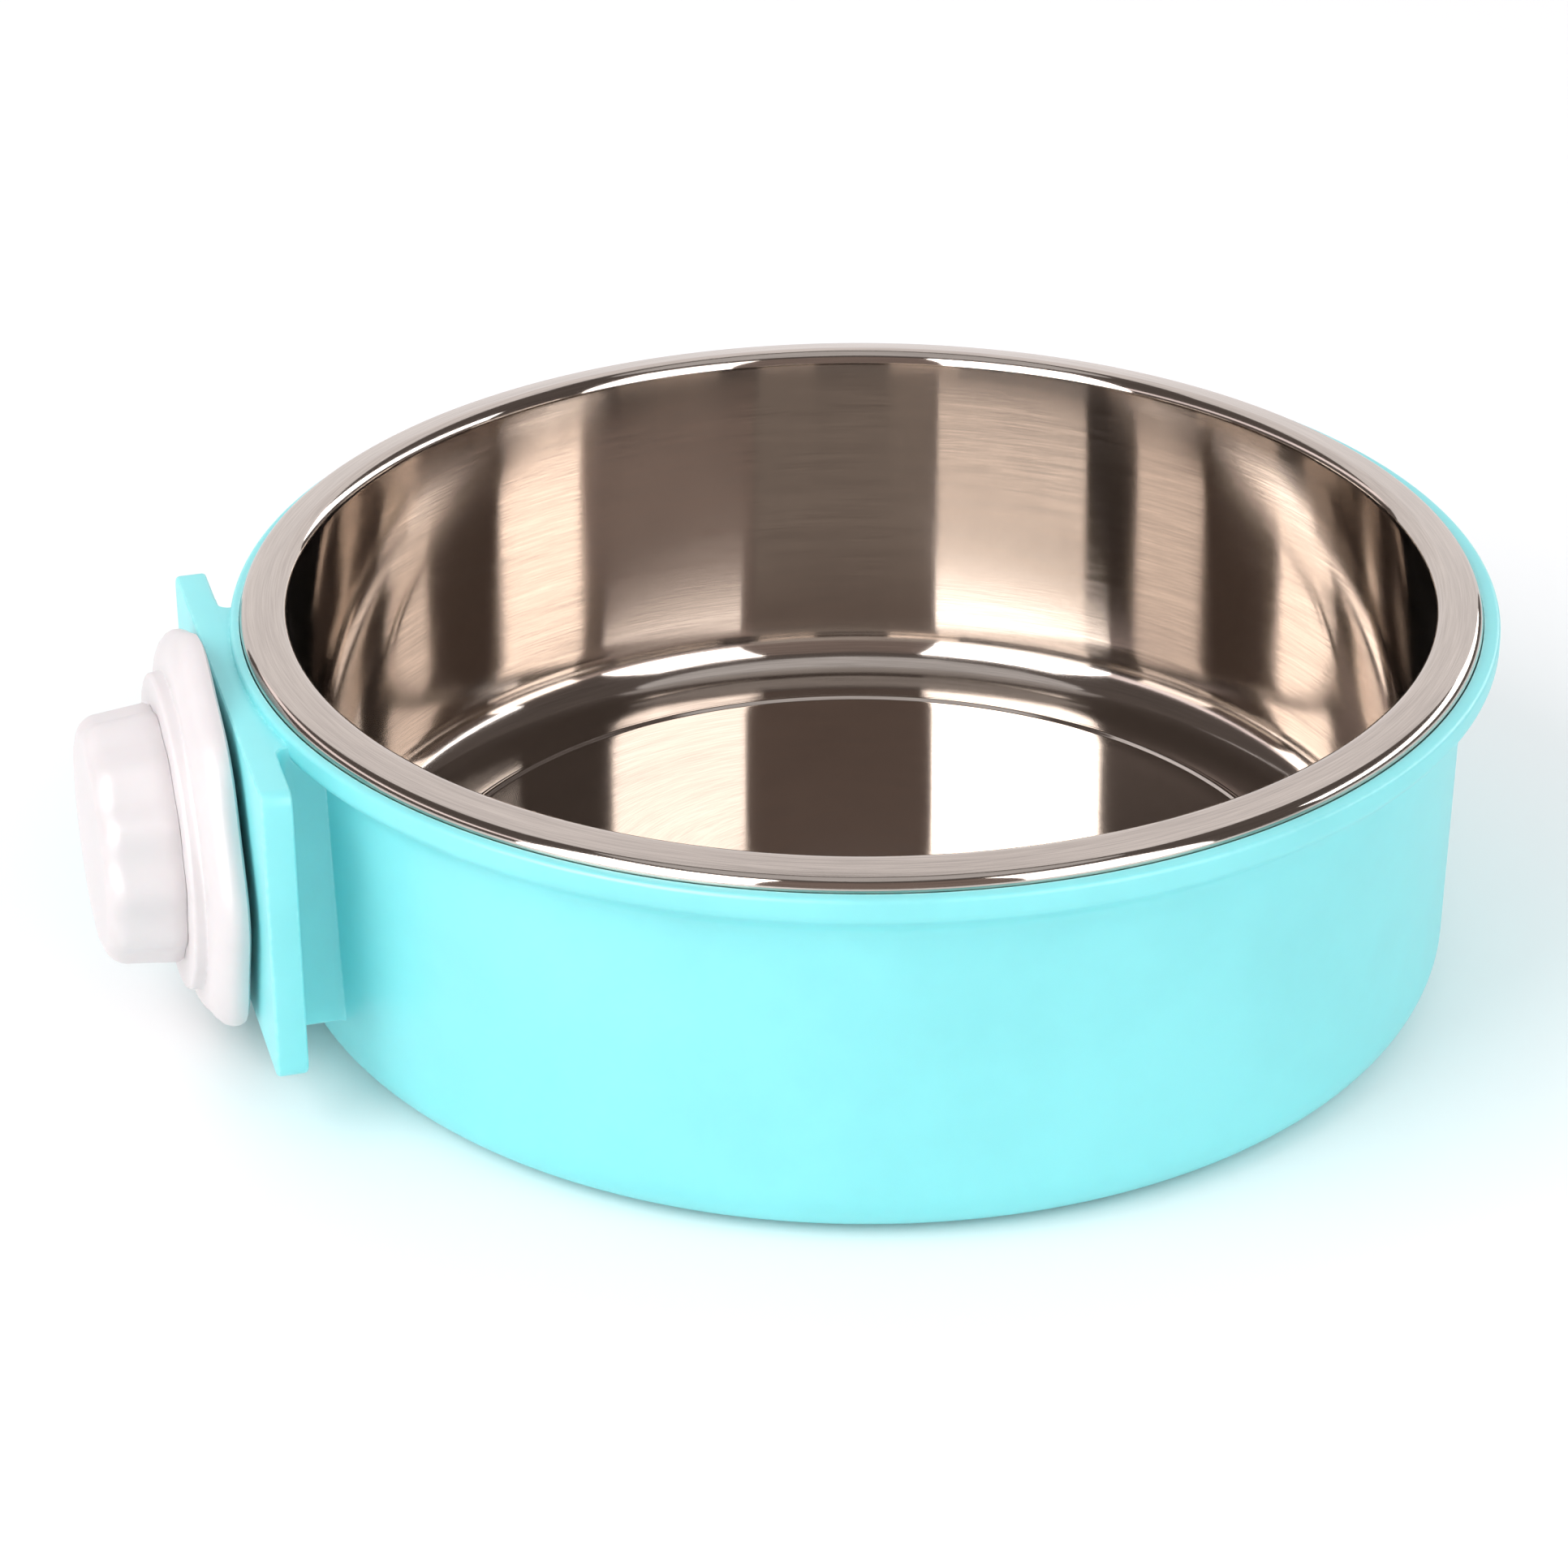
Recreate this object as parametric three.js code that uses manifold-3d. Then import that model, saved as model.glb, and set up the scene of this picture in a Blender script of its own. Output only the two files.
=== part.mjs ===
// Clamp-on food bowl for a cage: a plastic holder bowl with a bracket plate moulded on its side,
// a lift-out stainless steel liner, and a screw clamp (bolt, lobed clamp disc and knob) that grips
// the cage wires against the plate.
//
// Millimetres, +Z up. The origin is the centre of the holder's flat underside, and the bracket
// points along -X.

import * as THREE from 'three';
import { mergeVertices } from 'three/addons/utils/BufferGeometryUtils.js';
import Module from 'manifold-3d';

const wasm = await Module();
wasm.setup();

// ---------------------------------------------------------------------------
// Driving dimensions
// ---------------------------------------------------------------------------

const TOTAL_HEIGHT = 45.2;
const ROUND_SEGMENTS = 64;
const CLEARANCE = 0.3;

// Holder bowl
const HOLDER_BASE_RADIUS = 65.8;
const HOLDER_TOP_RADIUS = 66.4;
const HOLDER_WALL = 1.9;
const HOLDER_FLOOR = 2.4;
const HOLDER_FOOT_FILLET = 6.2;
const LIP_RADIUS = 70;
const LIP_TOP = TOTAL_HEIGHT - 1.9;
const LIP_BOTTOM = TOTAL_HEIGHT - 4.6;
const LIP_FLARE_START = TOTAL_HEIGHT - 8.9;

// Steel liner
const STEEL = 0.6;
const RIM_RADIUS = 68.5;
const LINER_MOUTH_RADIUS = 63.1;
const LINER_HEEL_RADIUS = 61.8;
const LINER_CORNER = 5;
const LINER_FLOOR = 3.6;
const LINER_RING_RADIUS = 50.8;
const LINER_RING_STEP = 0.5;
const RIM_INNER_ROLL = 2.3;
const RIM_OUTER_ROLL = 1.6;
const RIM_SEAT = TOTAL_HEIGHT - 2 * RIM_OUTER_ROLL - 0.1 - CLEARANCE;
const LINER_OFFSET = 0.4;
const REBATE_RADIUS = RIM_RADIUS + LINER_OFFSET + CLEARANCE;

// Bracket plate and the block that joins it to the wall
const PLATE_FACE = 72.6;
const PLATE_THICKNESS = 3.4;
const PLATE_WIDTH = 56;
const PLATE_TOP = TOTAL_HEIGHT - 2.9;
const PLATE_BOTTOM = TOTAL_HEIGHT - 37;
const PLATE_CORNER = 1.6;
const BLOCK_WIDTH = 35;

// Bolt M6 x 16 with a hexagon head, and its nut
const AXIS_HEIGHT = TOTAL_HEIGHT - 20.5;
const BOLT_DIAMETER = 6;
const BOLT_LENGTH = 16;
const HEX_ACROSS_FLATS = 10;
const BOLT_HEAD_HEIGHT = 4;
const BOLT_HEAD_SEAT = 3.5;
const NUT_HEIGHT = 5;

// Clamp disc, measured outwards from its gripping face
const DISC_RADIUS = 21.9;
const DISC_LOBE = 0.5;
const DISC_LOBES = 8;
const DISC_THICKNESS = 4;
const DISC_BOSS_RADIUS = 17.4;
const DISC_BOSS_HEIGHT = 1.5;
const DISC_GAP = 0.9;

// Knob
const KNOB_BASE_RADIUS = 14.3;
const KNOB_FRONT_RADIUS = 13.4;
const KNOB_LENGTH = 8.1;
const KNOB_ROUND = 2.6;
const KNOB_FLUTES = 12;
const KNOB_FLUTE_DEPTH = 0.7;
const KNOB_BORE_DEPTH = 6.6;

// ---------------------------------------------------------------------------
// Materials
// ---------------------------------------------------------------------------

const aquaPlastic = new THREE.MeshStandardMaterial({ color: 0x8feef2, roughness: 0.38, metalness: 0 });
const polishedSteel = new THREE.MeshStandardMaterial({ color: 0xc9c3bd, roughness: 0.16, metalness: 1 });
const whitePlastic = new THREE.MeshStandardMaterial({ color: 0xf4f0f1, roughness: 0.42, metalness: 0 });
const zincSteel = new THREE.MeshStandardMaterial({ color: 0xb4b6ba, roughness: 0.34, metalness: 1 });

// ---------------------------------------------------------------------------
// Solids: conversion to and from Manifold
// ---------------------------------------------------------------------------

function toSolid(geometry) {
  const bare = geometry.clone();
  bare.deleteAttribute('normal');
  bare.deleteAttribute('uv');
  const merged = mergeVertices(bare, 1e-4);
  const mesh = new wasm.Mesh({
    numProp: 3,
    vertProperties: new Float32Array(merged.attributes.position.array),
    triVerts: new Uint32Array(merged.index.array),
  });
  return new wasm.Manifold(mesh);
}

function toGeometry(solid) {
  const mesh = solid.getMesh();
  const geometry = new THREE.BufferGeometry();
  geometry.setAttribute('position', new THREE.BufferAttribute(new Float32Array(mesh.vertProperties), 3));
  geometry.setIndex(new THREE.BufferAttribute(new Uint32Array(mesh.triVerts), 1));
  geometry.computeVertexNormals();
  return geometry;
}

function namedMesh(name, geometry, material) {
  const mesh = new THREE.Mesh(geometry, material);
  mesh.name = name;
  return mesh;
}

// ---------------------------------------------------------------------------
// Profiles: [radius, height] pairs turned about the Z axis
// ---------------------------------------------------------------------------

// Points on an arc from one angle to another, in degrees, counter-clockwise when to > from.
function arc(centreRadius, centreHeight, radius, from, to, steps) {
  const points = [];
  for (let i = 0; i <= steps; i += 1) {
    const angle = THREE.MathUtils.degToRad(from + ((to - from) * i) / steps);
    points.push([centreRadius + radius * Math.cos(angle), centreHeight + radius * Math.sin(angle)]);
  }
  return points;
}

// A closed profile that runs up the outside and back down the inside makes a solid facing out.
function turned(profile, segments = ROUND_SEGMENTS) {
  const points = profile.map(([radius, height]) => new THREE.Vector2(Math.max(radius, 0), height));
  const geometry = new THREE.LatheGeometry(points, segments);
  geometry.rotateX(Math.PI / 2);
  return toSolid(geometry);
}

// Turns a solid built along +Z so that it points along -X, then sets where it starts on the axis.
function alongClampAxis(geometry, start) {
  const placed = geometry.clone();
  placed.rotateY(-Math.PI / 2);
  placed.translate(-start, 0, AXIS_HEIGHT);
  return placed;
}

function hexPrism(acrossFlats, height) {
  const prism = new THREE.CylinderGeometry(acrossFlats / Math.sqrt(3), acrossFlats / Math.sqrt(3), height, 6);
  prism.rotateX(Math.PI / 2);
  prism.translate(0, 0, height / 2);
  return prism;
}

function rod(radius, height, segments = 24) {
  const cylinder = new THREE.CylinderGeometry(radius, radius, height, segments);
  cylinder.rotateX(Math.PI / 2);
  cylinder.translate(0, 0, height / 2);
  return cylinder;
}

// ---------------------------------------------------------------------------
// Holder bowl: shell, lip, block and bracket plate, one moulding
// ---------------------------------------------------------------------------

function holderOutside() {
  const foot = HOLDER_BASE_RADIUS - HOLDER_FOOT_FILLET;
  return [
    [0, 0],
    ...arc(foot, HOLDER_FOOT_FILLET, HOLDER_FOOT_FILLET, -90, 0, 5),
    [HOLDER_TOP_RADIUS, LIP_FLARE_START],
    [HOLDER_TOP_RADIUS + 0.5, LIP_FLARE_START + 2.2],
    [HOLDER_TOP_RADIUS + 1.7, LIP_FLARE_START + 3.6],
    [LIP_RADIUS - 0.5, LIP_BOTTOM - 0.3],
    [LIP_RADIUS, LIP_BOTTOM + 0.5],
    [LIP_RADIUS, LIP_TOP - 0.5],
    [LIP_RADIUS - 0.15, LIP_TOP - 0.15],
    [LIP_RADIUS - 0.5, LIP_TOP],
    [0, LIP_TOP],
  ];
}

function holderInside() {
  const baseRadius = HOLDER_BASE_RADIUS - HOLDER_WALL;
  const topRadius = HOLDER_TOP_RADIUS - HOLDER_WALL;
  const corner = HOLDER_FOOT_FILLET - 0.4;
  return [
    [0, HOLDER_FLOOR],
    ...arc(baseRadius - corner, HOLDER_FLOOR + corner, corner, -90, 0, 5),
    [topRadius, RIM_SEAT - 0.6],
    [topRadius + 0.6, RIM_SEAT],
    [REBATE_RADIUS, RIM_SEAT],
    [REBATE_RADIUS, TOTAL_HEIGHT],
    [0, TOTAL_HEIGHT],
  ];
}

function bracketPlate() {
  const halfWidth = PLATE_WIDTH / 2;
  const halfHeight = (PLATE_TOP - PLATE_BOTTOM) / 2;
  const outline = new THREE.Shape();
  outline.moveTo(-halfHeight + PLATE_CORNER, -halfWidth);
  outline.absarc(halfHeight - PLATE_CORNER, -halfWidth + PLATE_CORNER, PLATE_CORNER, -Math.PI / 2, 0);
  outline.absarc(halfHeight - PLATE_CORNER, halfWidth - PLATE_CORNER, PLATE_CORNER, 0, Math.PI / 2);
  outline.absarc(-halfHeight + PLATE_CORNER, halfWidth - PLATE_CORNER, PLATE_CORNER, Math.PI / 2, Math.PI);
  outline.absarc(-halfHeight + PLATE_CORNER, -halfWidth + PLATE_CORNER, PLATE_CORNER, Math.PI, 1.5 * Math.PI);
  const plate = new THREE.ExtrudeGeometry(outline, {
    depth: PLATE_THICKNESS,
    bevelEnabled: false,
    curveSegments: 4,
  });
  return toSolid(alongClampAxis(plate, PLATE_FACE - PLATE_THICKNESS));
}

function joiningBlock() {
  const inner = HOLDER_BASE_RADIUS - HOLDER_WALL - 4;
  const outer = PLATE_FACE - PLATE_THICKNESS / 2;
  const height = PLATE_TOP - PLATE_BOTTOM;
  const block = new THREE.BoxGeometry(outer - inner, BLOCK_WIDTH, height);
  block.translate(-(outer + inner) / 2, 0, PLATE_BOTTOM + height / 2);
  return toSolid(block);
}

function holderBowl() {
  const headPocket = hexPrism(HEX_ACROSS_FLATS + 2 * CLEARANCE, 2 * PLATE_FACE);
  const pocketEnd = PLATE_FACE - BOLT_HEAD_SEAT + CLEARANCE;
  const pocketStart = HOLDER_BASE_RADIUS - HOLDER_WALL - 4;
  headPocket.scale(1, 1, (pocketEnd - pocketStart) / (2 * PLATE_FACE));
  const boltHole = rod(BOLT_DIAMETER / 2 + CLEARANCE, PLATE_THICKNESS * 3);
  const solid = turned(holderOutside())
    .add(joiningBlock())
    .add(bracketPlate())
    .subtract(turned(holderInside()))
    .subtract(toSolid(alongClampAxis(headPocket, pocketStart)))
    .subtract(toSolid(alongClampAxis(boltHole, PLATE_FACE - PLATE_THICKNESS * 2)));
  return namedMesh('holder_bowl', toGeometry(solid), aquaPlastic);
}

// ---------------------------------------------------------------------------
// Steel liner: drawn sheet with a stepped floor and a rolled rim
// ---------------------------------------------------------------------------

function steelBowl() {
  const heel = LINER_HEEL_RADIUS - LINER_CORNER;
  const innerRollCentre = LINER_MOUTH_RADIUS + RIM_INNER_ROLL;
  const innerRollHeight = TOTAL_HEIGHT - RIM_INNER_ROLL;
  const outerRollCentre = RIM_RADIUS - RIM_OUTER_ROLL;
  const outerRollHeight = TOTAL_HEIGHT - RIM_OUTER_ROLL - 0.1;
  const inside = [
    [0, LINER_FLOOR + LINER_RING_STEP],
    [LINER_RING_RADIUS, LINER_FLOOR + LINER_RING_STEP],
    [LINER_RING_RADIUS + 1.2, LINER_FLOOR],
    ...arc(heel, LINER_FLOOR + LINER_CORNER, LINER_CORNER, -90, 0, 4),
    ...arc(innerRollCentre, innerRollHeight, RIM_INNER_ROLL, 180, 90, 4),
    ...arc(outerRollCentre, outerRollHeight, RIM_OUTER_ROLL, 85, -90, 7),
  ];
  const outside = [
    ...arc(outerRollCentre, outerRollHeight, RIM_OUTER_ROLL - STEEL, -90, 85, 7),
    ...arc(innerRollCentre, innerRollHeight, RIM_INNER_ROLL - STEEL, 90, 180, 4),
    ...arc(heel, LINER_FLOOR + LINER_CORNER, LINER_CORNER + STEEL, 0, -90, 4),
    [LINER_RING_RADIUS + 1.2, LINER_FLOOR - STEEL],
    [LINER_RING_RADIUS, LINER_FLOOR + LINER_RING_STEP - STEEL],
    [0, LINER_FLOOR + LINER_RING_STEP - STEEL],
  ];
  // The profile runs from the inside over the rim to the outside, so it is reversed to face out.
  const profile = [...inside, ...outside].reverse();
  const liner = namedMesh('steel_bowl', toGeometry(turned(profile)), polishedSteel);
  // The loose liner rests against the bracket side of its rebate.
  liner.position.x = -LINER_OFFSET;
  return liner;
}

// ---------------------------------------------------------------------------
// Screw clamp
// ---------------------------------------------------------------------------

function clampBolt() {
  const headStart = PLATE_FACE - BOLT_HEAD_SEAT - BOLT_HEAD_HEIGHT;
  const head = toSolid(alongClampAxis(hexPrism(HEX_ACROSS_FLATS, BOLT_HEAD_HEIGHT), headStart));
  const shankLength = BOLT_LENGTH + BOLT_HEAD_HEIGHT / 2;
  const shank = rod(BOLT_DIAMETER / 2, shankLength);
  const solid = head.add(toSolid(alongClampAxis(shank, headStart + BOLT_HEAD_HEIGHT / 2)));
  return namedMesh('clamp_bolt', toGeometry(solid), zincSteel);
}

// Outline with rounded lobes: the radius swings about its mean as the angle goes round.
function lobedOutline(meanRadius, swing, lobes, pointsPerLobe) {
  const outline = new THREE.Shape();
  const count = lobes * pointsPerLobe;
  for (let i = 0; i < count; i += 1) {
    const angle = (2 * Math.PI * i) / count;
    const radius = meanRadius + swing * Math.cos(lobes * angle);
    const x = radius * Math.cos(angle);
    const y = radius * Math.sin(angle);
    if (i === 0) {
      outline.moveTo(x, y);
    } else {
      outline.lineTo(x, y);
    }
  }
  outline.closePath();
  return outline;
}

function prism(outline, depth) {
  return toSolid(new THREE.ExtrudeGeometry(outline, { depth, bevelEnabled: false }));
}

function placeOnClampAxis(name, solid, start, material) {
  return namedMesh(name, alongClampAxis(toGeometry(solid), start), material);
}

function clampDisc() {
  const widest = DISC_RADIUS + DISC_LOBE;
  const total = DISC_THICKNESS + DISC_BOSS_HEIGHT;
  const dome = turned([
    [0, 0],
    [widest - 1, 0],
    [widest, 1],
    [widest, 1.8],
    [widest - 1.3, 3.1],
    [widest - 3.4, DISC_THICKNESS],
    [DISC_BOSS_RADIUS, DISC_THICKNESS],
    [DISC_BOSS_RADIUS, total - 0.5],
    [DISC_BOSS_RADIUS - 0.5, total],
    [0, total],
  ], 56);
  const solid = dome
    .intersect(prism(lobedOutline(DISC_RADIUS, DISC_LOBE, DISC_LOBES, 7), total))
    .subtract(toSolid(rod(BOLT_DIAMETER / 2 + 0.4, 2 * total).translate(0, 0, -total / 2)));
  return placeOnClampAxis('clamp_disc', solid, PLATE_FACE + DISC_GAP, whitePlastic);
}

const KNOB_START = PLATE_FACE + DISC_GAP + DISC_THICKNESS + DISC_BOSS_HEIGHT + CLEARANCE;

// Narrows a prism evenly from full size at its base to a smaller size at its far end.
function tapered(geometry, length, farScale) {
  const positions = geometry.attributes.position;
  for (let i = 0; i < positions.count; i += 1) {
    const scale = 1 + ((farScale - 1) * positions.getZ(i)) / length;
    positions.setXY(i, positions.getX(i) * scale, positions.getY(i) * scale);
  }
  return geometry;
}

function clampKnob() {
  const rounding = arc(KNOB_FRONT_RADIUS - KNOB_ROUND, KNOB_LENGTH - KNOB_ROUND, KNOB_ROUND, 5, 90, 4);
  const cap = turned([
    [0, 0],
    [KNOB_BASE_RADIUS - 0.4, 0],
    [KNOB_BASE_RADIUS, 0.4],
    ...rounding,
    [0, KNOB_LENGTH],
  ], 48);
  const swing = KNOB_FLUTE_DEPTH / 2;
  const outline = lobedOutline(KNOB_BASE_RADIUS - swing, swing, KNOB_FLUTES, 6);
  const fluted = new THREE.ExtrudeGeometry(outline, { depth: KNOB_LENGTH, bevelEnabled: false });
  tapered(fluted, KNOB_LENGTH, KNOB_FRONT_RADIUS / KNOB_BASE_RADIUS);
  const nutPocket = hexPrism(HEX_ACROSS_FLATS + 2 * CLEARANCE, NUT_HEIGHT + 1 + CLEARANCE);
  nutPocket.translate(0, 0, -1);
  const bore = rod(BOLT_DIAMETER / 2 + 0.5, KNOB_BORE_DEPTH + 1);
  bore.translate(0, 0, -1);
  const solid = cap.intersect(toSolid(fluted)).subtract(toSolid(nutPocket)).subtract(toSolid(bore));
  return placeOnClampAxis('clamp_knob', solid, KNOB_START, whitePlastic);
}

function knobNut() {
  const hole = rod(BOLT_DIAMETER / 2 + CLEARANCE, 3 * NUT_HEIGHT);
  hole.translate(0, 0, -NUT_HEIGHT);
  const solid = toSolid(hexPrism(HEX_ACROSS_FLATS, NUT_HEIGHT)).subtract(toSolid(hole));
  return placeOnClampAxis('knob_nut', solid, KNOB_START, zincSteel);
}

// ---------------------------------------------------------------------------
// Assembly
// ---------------------------------------------------------------------------

const cageBowl = new THREE.Group();
cageBowl.add(holderBowl());
cageBowl.add(steelBowl());

const clamp = new THREE.Group();
clamp.add(clampBolt());
clamp.add(clampDisc());
clamp.add(clampKnob());
clamp.add(knobNut());
cageBowl.add(clamp);

export default cageBowl;
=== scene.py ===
import math

import bmesh
import bpy
from mathutils import Matrix, Vector


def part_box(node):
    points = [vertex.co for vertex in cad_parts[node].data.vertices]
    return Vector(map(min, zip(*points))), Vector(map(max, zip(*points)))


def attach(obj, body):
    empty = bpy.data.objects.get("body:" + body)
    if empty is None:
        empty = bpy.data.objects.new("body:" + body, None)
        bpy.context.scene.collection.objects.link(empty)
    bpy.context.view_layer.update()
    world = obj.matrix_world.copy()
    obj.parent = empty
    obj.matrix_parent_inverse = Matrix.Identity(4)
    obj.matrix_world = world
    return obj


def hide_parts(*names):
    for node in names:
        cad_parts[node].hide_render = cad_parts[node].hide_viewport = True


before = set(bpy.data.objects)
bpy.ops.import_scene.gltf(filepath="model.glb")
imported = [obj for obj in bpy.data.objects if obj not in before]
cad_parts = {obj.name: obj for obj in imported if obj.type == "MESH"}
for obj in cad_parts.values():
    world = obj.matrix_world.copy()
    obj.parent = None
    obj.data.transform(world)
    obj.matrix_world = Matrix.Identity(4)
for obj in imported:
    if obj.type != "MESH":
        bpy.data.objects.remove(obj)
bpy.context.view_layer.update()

# ---------------------------------------------------------------------------
# Sizes in metres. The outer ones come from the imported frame.
# ---------------------------------------------------------------------------

MM = 0.001

HOLDER_LOW, HOLDER_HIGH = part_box("holder_bowl")
LINER_LOW, LINER_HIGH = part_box("steel_bowl")
BOLT_LOW, BOLT_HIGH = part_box("clamp_bolt")
DISC_LOW, DISC_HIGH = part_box("clamp_disc")
KNOB_LOW, KNOB_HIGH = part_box("clamp_knob")
NUT_LOW, NUT_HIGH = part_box("knob_nut")

# Holder moulding
LIP_RADIUS = HOLDER_HIGH.x
LIP_TOP = HOLDER_HIGH.z
LIP_DEPTH = 2.7 * MM
FLARE_DEPTH = 7.0 * MM
WALL = 1.9 * MM
BASE_RADIUS = LIP_RADIUS - 4.2 * MM
TOP_RADIUS = LIP_RADIUS - 3.6 * MM
FLOOR = 2.4 * MM
FOOT_FILLET = 6.2 * MM
GATE_RADIUS = 2.2 * MM
GATE_DEPTH = 0.35 * MM
LIP_FLARE = 2.8 * MM
LIP_UNDERSIDE = 1.6 * MM
LIP_EDGE = 0.5 * MM
INSIDE_STEP = 0.6 * MM

# Bracket plate and block
PLATE_FACE = -HOLDER_LOW.x
PLATE_THICKNESS = 3.4 * MM
PLATE_HALF_WIDTH = 28 * MM
PLATE_TOP = LIP_TOP - 1.0 * MM
PLATE_BOTTOM = 8.2 * MM
PLATE_CORNER = 1.6 * MM
BLOCK_HALF_WIDTH = 17.5 * MM
BLOCK_FLARE = 4.5 * MM
BLOCK_OVERLAP = 4 * MM
PLATE_FILLET = 1.2 * MM
WALL_FILLET = 1.5 * MM
EDGE_ROUND = 0.45 * MM

# Steel liner
STEEL = 0.6 * MM
RIM_TOP = LINER_HIGH.z
RIM_RADIUS = (LINER_HIGH.y - LINER_LOW.y) / 2
LINER_CENTRE = (LINER_HIGH.x + LINER_LOW.x) / 2
MOUTH_RADIUS = RIM_RADIUS - 5.4 * MM
HEEL_RADIUS = RIM_RADIUS - 6.7 * MM
LINER_CORNER = 5 * MM
LINER_FLOOR = LINER_LOW.z + STEEL
BEAD_RADIUS = 51.4 * MM
BEAD_HEIGHT = 0.5 * MM
BEAD_ROUND = 0.6 * MM
BEAD_FILLET = 0.5 * MM
MIDDLE_RISE = 0.2 * MM
WALL_DRAFT = 1.5
INNER_ROLL = 1.6 * MM
OUTER_ROLL = 1.2 * MM
RIM_SLOPE = 11
COVE_GAP = 0.12 * MM

# Clamp
AXIS_HEIGHT = (KNOB_LOW.z + KNOB_HIGH.z) / 2
HEX_FLATS = 10 * MM
THREAD_RADIUS = 3 * MM
THREAD_PITCH = 1 * MM
THREAD_DEPTH = 0.6 * MM
BOLT_HEAD = 4 * MM
HEX_PLAY = 0.6 * MM
POCKET_DEPTH = 12.7 * MM
POCKET_END = 3.2 * MM
HOLE_DEPTH = 6.8 * MM
HOLE_MOUTH = 0.4 * MM
DISC_START = -DISC_HIGH.x
DISC_RADIUS = 22.4 * MM
DISC_LOBE = 1.0 * MM
DISC_LOBES = 8
DISC_THICKNESS = 4 * MM
DISC_LENGTH = DISC_HIGH.x - DISC_LOW.x
BOSS_RADIUS = 17.4 * MM
KNOB_START = -KNOB_HIGH.x
KNOB_LENGTH = KNOB_HIGH.x - KNOB_LOW.x
KNOB_BASE_RADIUS = 14.3 * MM
KNOB_FRONT_RADIUS = 13.4 * MM
KNOB_ROUND = 2.6 * MM
KNOB_SKIRT = KNOB_START - DISC_START - DISC_LENGTH - 0.04 * MM
KNOB_FLUTES = 12
FLUTE_DEPTH = 0.7 * MM
KNOB_BORE_DEPTH = 6.6 * MM
NUT_LENGTH = NUT_HIGH.x - NUT_LOW.x

FULL_TURN = 2 * math.pi

# ---------------------------------------------------------------------------
# Camera: 25.5 degrees above the rim, with the bracket turned 16.5 degrees towards it
# ---------------------------------------------------------------------------

CAMERA_AZIMUTH = math.radians(-16.5)
CAMERA_ELEVATION = 0.4452
CAMERA_DISTANCE = 7.5 * RIM_RADIUS
AIM_LOWER = 0.0451
AIM_LEFT = 0.0185
CAMERA_ROLL = -0.0051
LENS = 106.4


def add_camera():
    data = bpy.data.cameras.new("camera")
    data.sensor_width = 36
    data.lens = LENS
    data.clip_start, data.clip_end = 0.01, 20
    camera = bpy.data.objects.new("camera", data)
    bpy.context.scene.collection.objects.link(camera)
    pitch = CAMERA_ELEVATION + AIM_LOWER
    forward = Vector((
        -math.sin(AIM_LEFT) * math.cos(pitch),
        math.cos(AIM_LEFT) * math.cos(pitch),
        -math.sin(pitch),
    ))
    level = Vector((math.cos(AIM_LEFT), math.sin(AIM_LEFT), 0))
    rise = level.cross(forward)
    right = math.cos(CAMERA_ROLL) * level + math.sin(CAMERA_ROLL) * rise
    up = right.cross(forward)
    place = Vector((0, -math.cos(CAMERA_ELEVATION), math.sin(CAMERA_ELEVATION))) * CAMERA_DISTANCE
    stand = Matrix((right, up, -forward)).transposed().to_4x4()
    stand.translation = place
    rim_centre = Matrix.Translation((LINER_CENTRE, 0, RIM_TOP))
    camera.matrix_world = rim_centre @ Matrix.Rotation(CAMERA_AZIMUTH, 4, "Z") @ stand
    bpy.context.scene.camera = camera


# ---------------------------------------------------------------------------
# Profiles and meshes
# ---------------------------------------------------------------------------

def arc(centre_r, centre_z, radius, start, end, steps):
    """Points on an arc, its angles in degrees."""
    points = []
    for i in range(steps + 1):
        angle = math.radians(start + (end - start) * i / steps)
        points.append((centre_r + radius * math.cos(angle), centre_z + radius * math.sin(angle)))
    return points


def rounded(corners, steps=5):
    """A closed outline from (x, y, corner radius) points, each corner drawn as an arc."""
    points = []
    for i, (x, y, radius) in enumerate(corners):
        here = Vector((x, y))
        before = Vector(corners[i - 1][:2]) - here
        after = Vector(corners[(i + 1) % len(corners)][:2]) - here
        if radius == 0:
            points.append((x, y))
            continue
        half = before.angle(after) / 2
        reach = radius / math.tan(half)
        start = here + before.normalized() * reach
        centre = here + (before.normalized() + after.normalized()).normalized() * radius / math.sin(half)
        turn = (start - centre).angle_signed(here + after.normalized() * reach - centre)
        for k in range(steps + 1):
            spoke = start - centre
            spoke.rotate(Matrix.Rotation(-turn * k / steps, 2))
            points.append(tuple(centre + spoke))
    return points


def subdivided(profile, longest):
    """Splits straight runs of a numeric profile, so that smooth shading stays true along them."""
    points = [profile[0]]
    for (r0, z0), (r1, z1) in zip(profile, profile[1:]):
        count = max(1, math.ceil(math.hypot(r1 - r0, z1 - z0) / longest))
        for i in range(1, count + 1):
            points.append((r0 + (r1 - r0) * i / count, z0 + (z1 - z0) * i / count))
    return points


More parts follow.
